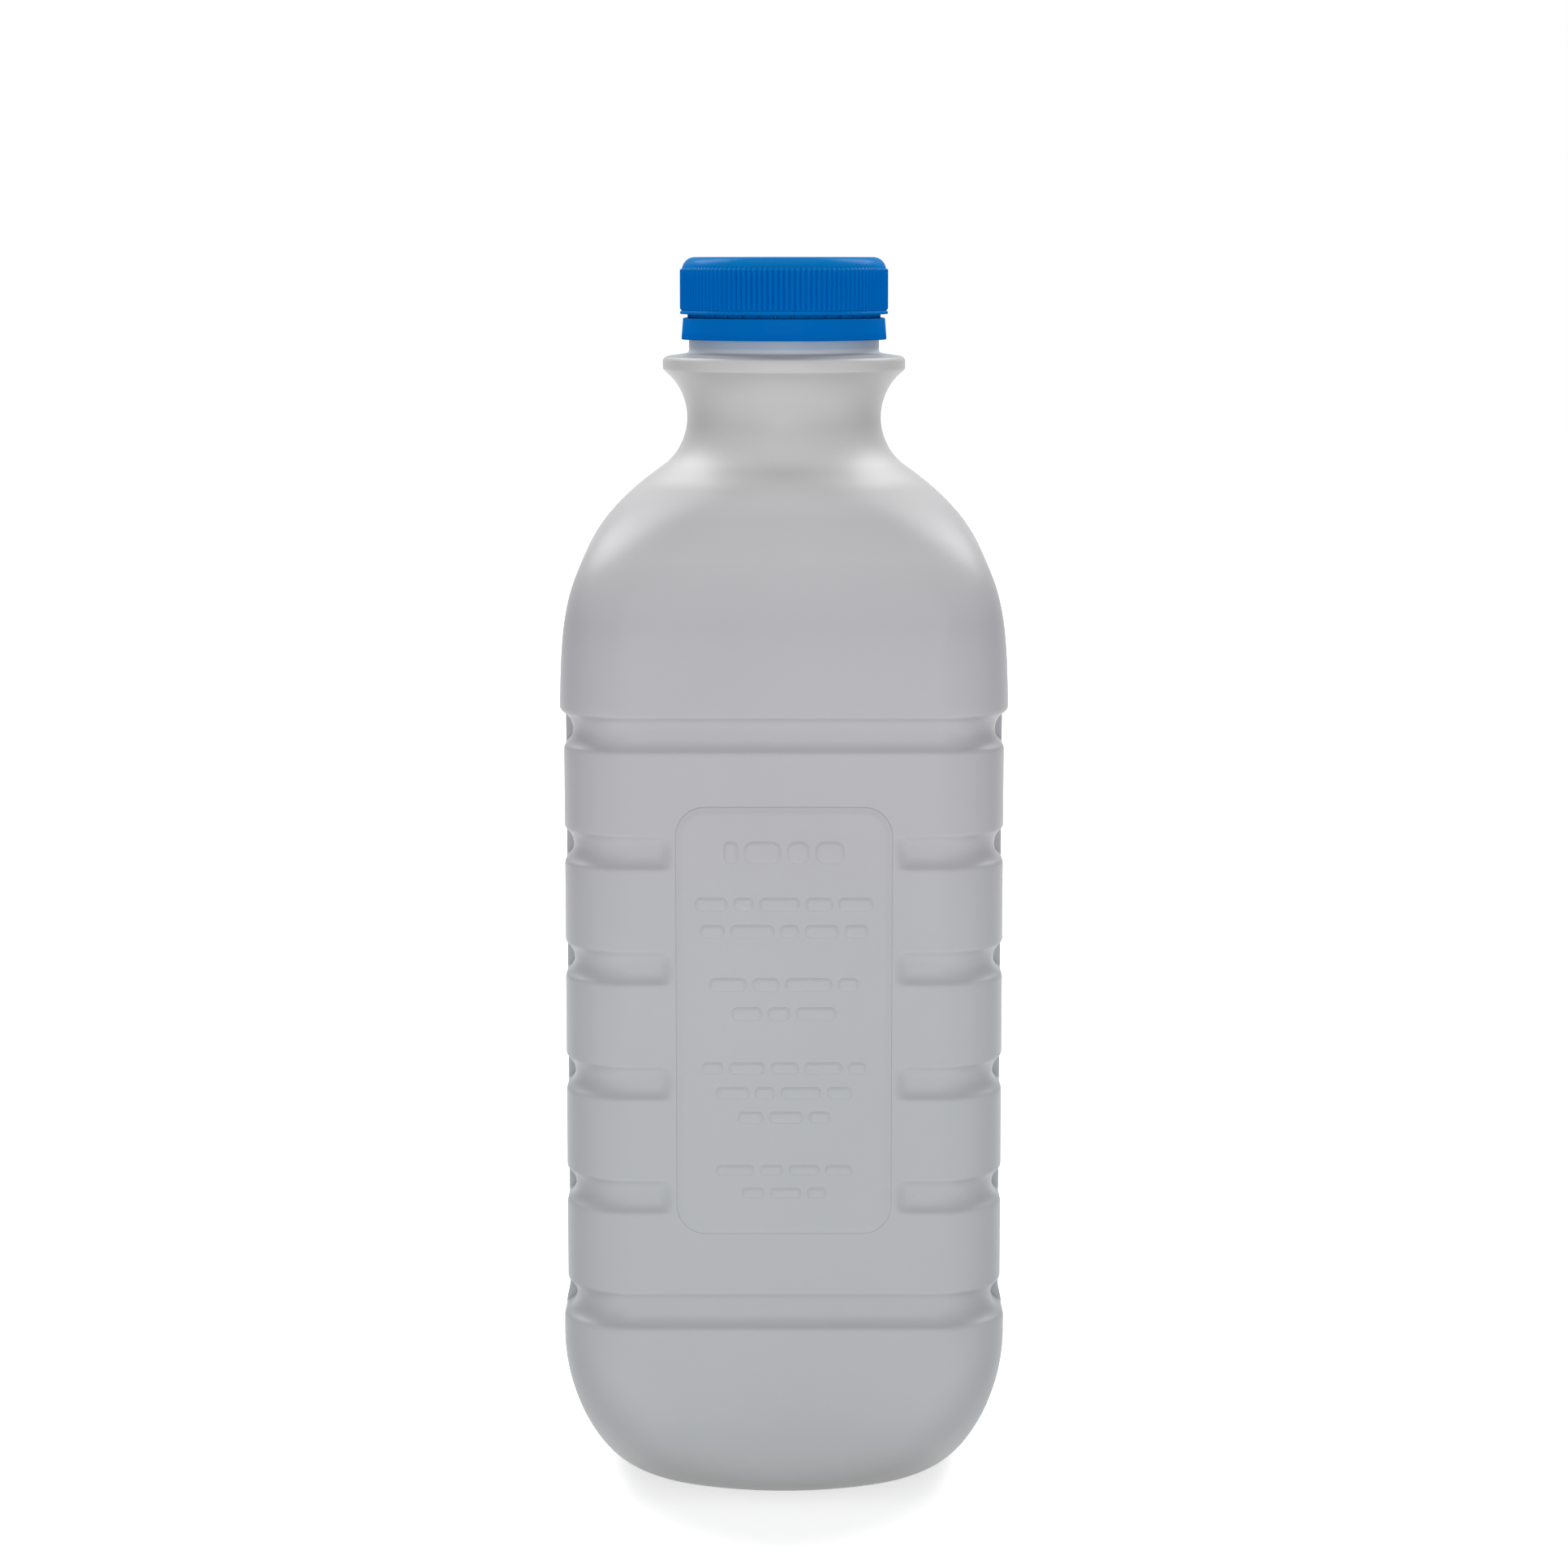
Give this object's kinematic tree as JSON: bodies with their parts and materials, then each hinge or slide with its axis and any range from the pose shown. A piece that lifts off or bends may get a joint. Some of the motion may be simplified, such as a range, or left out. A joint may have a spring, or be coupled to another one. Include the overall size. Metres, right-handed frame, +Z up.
{
  "type": "plastic milk bottle",
  "caption": "Rounded-square ribbed plastic milk bottle, full and closed, with a flared collar, a knurled screw cap and a tamper band.",
  "frame": {"origin": "centre of the bottle's foot, on the surface that it stands on", "axes": "+Z up along the bottle's axis, -Y out of the flat face with the raised panel, +X to that face's right as seen from outside"},
  "size_m": [0.0816, 0.0816, 0.2283],
  "materials": {
    "bottle_plastic": "satin",
    "cap_plastic": "satin"
  },
  "bodies": {
    "root": {"bottle": "bottle_plastic", "cap": "cap_plastic", "tamper_band": "cap_plastic"}
  },
  "joints": []
}
